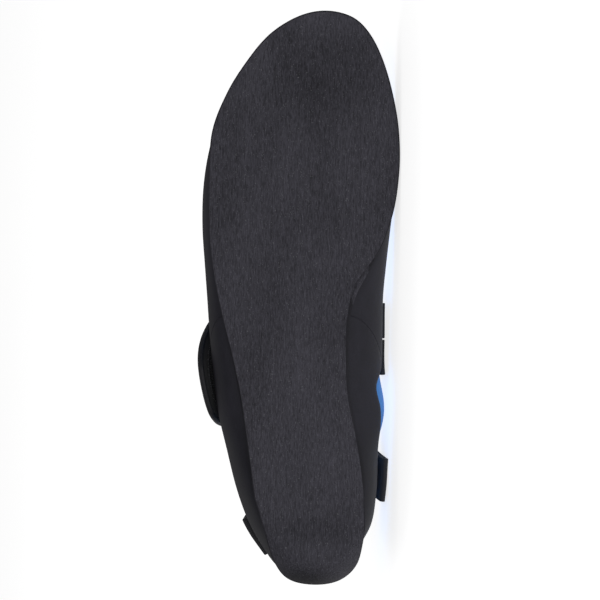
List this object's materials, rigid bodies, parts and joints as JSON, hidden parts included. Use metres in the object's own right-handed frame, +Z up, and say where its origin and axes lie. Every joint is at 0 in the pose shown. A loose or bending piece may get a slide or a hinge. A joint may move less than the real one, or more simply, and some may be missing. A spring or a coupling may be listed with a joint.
{
  "type": "climbing shoe",
  "caption": "Climbing shoe lying on its inner side: smooth rubber sole and rands, leather upper open at the collar, padded tongue, closure strap and webbing pull loops",
  "frame": {"origin": "centre of the bounding box's bottom face, on the floor", "axes": "+Z up. The shoe lies on its inner side: the toe points along +X, the sole faces -Y, tipped seven degrees up, and the outer side of the foot is on top"},
  "size_m": [0.2608, 0.0942, 0.088],
  "materials": {
    "upper_leather": "matte",
    "rand_rubber": "matte",
    "sole_rubber": "matte",
    "lining_fabric": "matte",
    "strap_fabric": "matte"
  },
  "bodies": {
    "root": {"upper": "upper_leather", "rand_front": "rand_rubber", "rand_heel": "rand_rubber", "outsole": "sole_rubber", "insole": "lining_fabric", "tongue": "lining_fabric", "closure_strap": "strap_fabric", "pull_loop_inner": "strap_fabric", "pull_loop_outer": "strap_fabric"}
  },
  "joints": []
}
